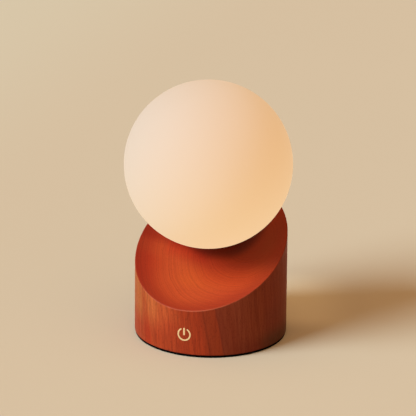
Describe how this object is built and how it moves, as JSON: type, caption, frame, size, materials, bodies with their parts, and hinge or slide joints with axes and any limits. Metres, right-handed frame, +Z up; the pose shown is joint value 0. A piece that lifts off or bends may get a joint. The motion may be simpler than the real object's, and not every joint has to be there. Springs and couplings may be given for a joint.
{
  "type": "rechargeable table lamp",
  "caption": "Small cordless table lamp: an opal glass globe on a twist-lock neck, set in the slanted dished top of a round wooden base with a touch sign and a charging inlet.",
  "frame": {"origin": "centre of the foot pad's lower face, on the axis of the round wooden base", "axes": "+Z up; -Y to the front, where the rim is lowest and the touch sign is; +Y to the back, where the charging inlet is; +X to the right seen from the front"},
  "size_m": [0.11, 0.111, 0.173],
  "materials": {
    "cherry_wood": "satin oiled wood, reddish brown",
    "opal_glass": "satin opal glass, warm white",
    "satin_brass": "satin",
    "black_moulding": "fine spark texture",
    "foot_rubber": "matte",
    "steel": "zinc plated",
    "aluminium": "turned",
    "circuit_board": "green solder mask",
    "white_moulding": "matte",
    "milky_plastic": "satin diffuser",
    "led_phosphor": "phosphor",
    "cell_wrap": "shrink film",
    "foam": "closed-cell foam",
    "dark_component": "moulded component bodies",
    "lead_jacket": "red insulation",
    "clear_plastic": "clear"
  },
  "bodies": {
    "base": {"base_body": "cherry_wood", "foot_pad": "foot_rubber", "bottom_plate": "black_moulding", "plate_screws": "steel", "touch_sensor": "circuit_board", "ballast_plate": "steel", "battery_cradle": "black_moulding", "battery_cell": "cell_wrap", "battery_pad": "foam", "cradle_screws": "steel", "main_board": "circuit_board", "board_screws": "steel", "board_parts": "dark_component", "lead_sockets": "white_moulding", "charge_light": "white_moulding", "light_pipe": "clear_plastic", "inlet_shell": "steel", "inlet_tongue": "black_moulding", "inlet_bezel": "black_moulding", "globe_holder": "black_moulding", "holder_screws": "steel", "neck_gasket": "foot_rubber", "led_slug": "aluminium", "led_board": "white_moulding", "led_chips": "led_phosphor", "led_screws": "steel", "light_dome": "milky_plastic", "led_lead": "lead_jacket", "supply_lead": "lead_jacket", "sensor_lead": "lead_jacket"},
    "globe": {"globe_shade": "opal_glass", "globe_collar": "satin_brass"}
  },
  "joints": [
    {"name": "globe_twist", "type": "hinge", "parent": "base", "child": "globe", "pos_m": [0, 0.02491, 0.06329], "axis": [0, -0.4924, 0.8704], "range_deg": [0, 30]}
  ]
}
